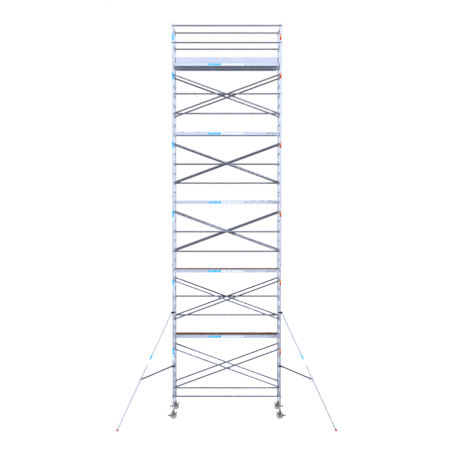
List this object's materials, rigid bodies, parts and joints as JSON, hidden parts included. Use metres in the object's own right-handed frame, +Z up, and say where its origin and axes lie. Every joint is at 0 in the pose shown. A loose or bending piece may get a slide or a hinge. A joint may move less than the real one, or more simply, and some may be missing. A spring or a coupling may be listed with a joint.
{
  "type": "mobile tower scaffold",
  "caption": "Tall mobile scaffold tower of stacked ladder frames with cross bracing, plywood platforms with hatches, guard rails, toe boards, braked castors and telescopic stabilisers.",
  "frame": {"origin": "centre of the whole footprint, stabilisers included, on the floor", "axes": "+Z up; +X along the platforms; -Y toward the side with the stabilisers"},
  "size_m": [5.9988, 2.968, 11.25],
  "materials": {
    "upright_tube": "mill finish extrusion",
    "brace_tube": "mill finish, dulled",
    "cast_claw": "rough casting",
    "black_cap": "moulded",
    "clip_steel": "spring steel",
    "platform_beam": "mill finish extrusion",
    "deck_ply": "phenolic faced plywood with an anti-slip face",
    "hook_casting": "rough casting",
    "hinge_steel": "zinc plated",
    "toe_board": "bright mill finish",
    "jack_steel": "zinc plated",
    "fork_steel": "dark paint",
    "wheel_hub": "grey",
    "tyre": "non-marking grey",
    "brake_pedal": "red paint",
    "coupler_black": "black paint",
    "stabiliser_tube": "mill finish extrusion",
    "red_rubber": "moulded"
  },
  "bodies": {
    "tower": {"end_frames_1": "upright_tube", "end_frames_2": "upright_tube", "end_frames_3": "upright_tube", "end_frames_4": "upright_tube", "end_frames_5": "upright_tube", "guard_frames": "upright_tube", "post_caps": "black_cap", "frame_spigots": "upright_tube", "frame_lock_clips": "clip_steel", "horizontal_braces": "brace_tube", "diagonal_braces": "brace_tube", "brace_claws": "cast_claw", "platform_frame_1": "platform_beam", "platform_frame_2": "platform_beam", "platform_frame_3": "platform_beam", "platform_frame_4": "platform_beam", "platform_frame_5": "platform_beam", "deck_boards": "deck_ply", "platform_hooks": "hook_casting", "hatch_hinges": "hinge_steel", "toe_boards": "toe_board"},
    "jack_front_left": {"jack_leg_front_left": "jack_steel"},
    "nut_front_left": {"jack_nut_front_left": "jack_steel"},
    "fork_front_left": {"castor_fork_front_left": "fork_steel"},
    "wheel_front_left": {"wheel_hub_front_left": "wheel_hub", "tyre_front_left": "tyre"},
    "brake_front_left": {"brake_rocker_front_left": "brake_pedal"},
    "jack_back_left": {"jack_leg_back_left": "jack_steel"},
    "nut_back_left": {"jack_nut_back_left": "jack_steel"},
    "fork_back_left": {"castor_fork_back_left": "fork_steel"},
    "wheel_back_left": {"wheel_hub_back_left": "wheel_hub", "tyre_back_left": "tyre"},
    "brake_back_left": {"brake_rocker_back_left": "brake_pedal"},
    "jack_front_right": {"jack_leg_front_right": "jack_steel"},
    "nut_front_right": {"jack_nut_front_right": "jack_steel"},
    "fork_front_right": {"castor_fork_front_right": "fork_steel"},
    "wheel_front_right": {"wheel_hub_front_right": "wheel_hub", "tyre_front_right": "tyre"},
    "brake_front_right": {"brake_rocker_front_right": "brake_pedal"},
    "jack_back_right": {"jack_leg_back_right": "jack_steel"},
    "nut_back_right": {"jack_nut_back_right": "jack_steel"},
    "fork_back_right": {"castor_fork_back_right": "fork_steel"},
    "wheel_back_right": {"wheel_hub_back_right": "wheel_hub", "tyre_back_right": "tyre"},
    "brake_back_right": {"brake_rocker_back_right": "brake_pedal"},
    "hatch_1": {"hatch_lid_1": "deck_ply"},
    "hatch_2": {"hatch_lid_2": "deck_ply"},
    "hatch_3": {"hatch_lid_3": "deck_ply"},
    "hatch_4": {"hatch_lid_4": "deck_ply"},
    "hatch_5": {"hatch_lid_5": "deck_ply"},
    "stabiliser_left": {"stabiliser_couplers_left": "coupler_black", "stabiliser_inner_leg_left": "stabiliser_tube", "stabiliser_strut_left": "brace_tube"},
    "stabiliser_foot_leg_left": {"stabiliser_outer_leg_left": "stabiliser_tube", "stabiliser_foot_left": "red_rubber"},
    "stabiliser_right": {"stabiliser_couplers_right": "coupler_black", "stabiliser_inner_leg_right": "stabiliser_tube", "stabiliser_strut_right": "brace_tube"},
    "stabiliser_foot_leg_right": {"stabiliser_outer_leg_right": "stabiliser_tube", "stabiliser_foot_right": "red_rubber"}
  },
  "joints": [
    {"name": "jack_extend_front_left", "type": "slide", "parent": "tower", "child": "jack_front_left", "axis": [0, 0, -1], "range_m": [0, 0.2]},
    {"name": "nut_turn_front_left", "type": "hinge", "parent": "tower", "child": "nut_front_left", "pos_m": [-1.525, 0.12204, 0.46], "axis": [0, 0, 1], "range_deg": [0, 7200.5]},
    {"name": "swivel_front_left", "type": "hinge", "parent": "jack_front_left", "child": "fork_front_left", "pos_m": [-1.525, 0.12204, 0.246], "axis": [0, 0, 1], "continuous": true},
    {"name": "wheel_spin_front_left", "type": "hinge", "parent": "fork_front_left", "child": "wheel_front_left", "pos_m": [-1.525, 0.12204, 0.1], "axis": [0, 1, 0], "continuous": true},
    {"name": "brake_release_front_left", "type": "hinge", "parent": "fork_front_left", "child": "brake_front_left", "pos_m": [-1.525, 0.12204, 0.1], "axis": [0, 1, 0], "range_deg": [0, 28]},
    {"name": "jack_extend_back_left", "type": "slide", "parent": "tower", "child": "jack_back_left", "axis": [0, 0, -1], "range_m": [0, 0.2]},
    {"name": "nut_turn_back_left", "type": "hinge", "parent": "tower", "child": "nut_back_left", "pos_m": [-1.525, 1.42204, 0.46], "axis": [0, 0, 1], "range_deg": [0, 7200.5]},
    {"name": "swivel_back_left", "type": "hinge", "parent": "jack_back_left", "child": "fork_back_left", "pos_m": [-1.525, 1.42204, 0.246], "axis": [0, 0, 1], "continuous": true},
    {"name": "wheel_spin_back_left", "type": "hinge", "parent": "fork_back_left", "child": "wheel_back_left", "pos_m": [-1.525, 1.42204, 0.1], "axis": [0, 1, 0], "continuous": true},
    {"name": "brake_release_back_left", "type": "hinge", "parent": "fork_back_left", "child": "brake_back_left", "pos_m": [-1.525, 1.42204, 0.1], "axis": [0, 1, 0], "range_deg": [0, 28]},
    {"name": "jack_extend_front_right", "type": "slide", "parent": "tower", "child": "jack_front_right", "axis": [0, 0, -1], "range_m": [0, 0.2]},
    {"name": "nut_turn_front_right", "type": "hinge", "parent": "tower", "child": "nut_front_right", "pos_m": [1.525, 0.12204, 0.46], "axis": [0, 0, 1], "range_deg": [0, 7200.5]},
    {"name": "swivel_front_right", "type": "hinge", "parent": "jack_front_right", "child": "fork_front_right", "pos_m": [1.525, 0.12204, 0.246], "axis": [0, 0, 1], "continuous": true},
    {"name": "wheel_spin_front_right", "type": "hinge", "parent": "fork_front_right", "child": "wheel_front_right", "pos_m": [1.525, 0.12204, 0.1], "axis": [0, 1, 0], "continuous": true},
    {"name": "brake_release_front_right", "type": "hinge", "parent": "fork_front_right", "child": "brake_front_right", "pos_m": [1.525, 0.12204, 0.1], "axis": [0, -1, 0], "range_deg": [0, 28]},
    {"name": "jack_extend_back_right", "type": "slide", "parent": "tower", "child": "jack_back_right", "axis": [0, 0, -1], "range_m": [0, 0.2]},
    {"name": "nut_turn_back_right", "type": "hinge", "parent": "tower", "child": "nut_back_right", "pos_m": [1.525, 1.42204, 0.46], "axis": [0, 0, 1], "range_deg": [0, 7200.5]},
    {"name": "swivel_back_right", "type": "hinge", "parent": "jack_back_right", "child": "fork_back_right", "pos_m": [1.525, 1.42204, 0.246], "axis": [0, 0, 1], "continuous": true},
    {"name": "wheel_spin_back_right", "type": "hinge", "parent": "fork_back_right", "child": "wheel_back_right", "pos_m": [1.525, 1.42204, 0.1], "axis": [0, 1, 0], "continuous": true},
    {"name": "brake_release_back_right", "type": "hinge", "parent": "fork_back_right", "child": "brake_back_right", "pos_m": [1.525, 1.42204, 0.1], "axis": [0, -1, 0], "range_deg": [0, 28]},
    {"name": "hatch_open_1", "type": "hinge", "parent": "tower", "child": "hatch_1", "pos_m": [1.03, 1.34604, 2.326], "axis": [-1, 0, 0], "range_deg": [0, 90]},
    {"name": "hatch_open_2", "type": "hinge", "parent": "tower", "child": "hatch_2", "pos_m": [-1.03, 0.19804, 4.286], "axis": [1, 0, 0], "range_deg": [0, 90]},
    {"name": "hatch_open_3", "type": "hinge", "parent": "tower", "child": "hatch_3", "pos_m": [1.03, 1.34604, 6.246], "axis": [-1, 0, 0], "range_deg": [0, 90]},
    {"name": "hatch_open_4", "type": "hinge", "parent": "tower", "child": "hatch_4", "pos_m": [-1.03, 0.19804, 8.206], "axis": [1, 0, 0], "range_deg": [0, 90]},
    {"name": "hatch_open_5", "type": "hinge", "parent": "tower", "child": "hatch_5", "pos_m": [1.03, 1.34604, 10.166], "axis": [-1, 0, 0], "range_deg": [0, 90]},
    {"name": "stabiliser_swing_left", "type": "hinge", "parent": "tower", "child": "stabiliser_left", "pos_m": [-1.525, 0.12204, 1.515], "axis": [0, 0, 1], "range_deg": [-45, 45]},
    {"name": "stabiliser_extend_left", "type": "slide", "parent": "stabiliser_left", "child": "stabiliser_foot_leg_left", "axis": [-0.3819, -0.4167, -0.8249], "range_m": [0, 0.45]},
    {"name": "stabiliser_swing_right", "type": "hinge", "parent": "tower", "child": "stabiliser_right", "pos_m": [1.525, 0.12204, 1.515], "axis": [0, 0, 1], "range_deg": [-45, 45]},
    {"name": "stabiliser_extend_right", "type": "slide", "parent": "stabiliser_right", "child": "stabiliser_foot_leg_right", "axis": [0.3819, -0.4167, -0.8249], "range_m": [0, 0.45]}
  ],
  "couplings": [
    {"joint": "nut_turn_front_left", "follows": "jack_extend_front_left", "rad_per_m": 628.32},
    {"joint": "nut_turn_back_left", "follows": "jack_extend_back_left", "rad_per_m": 628.32},
    {"joint": "nut_turn_front_right", "follows": "jack_extend_front_right", "rad_per_m": 628.32},
    {"joint": "nut_turn_back_right", "follows": "jack_extend_back_right", "rad_per_m": 628.32}
  ]
}
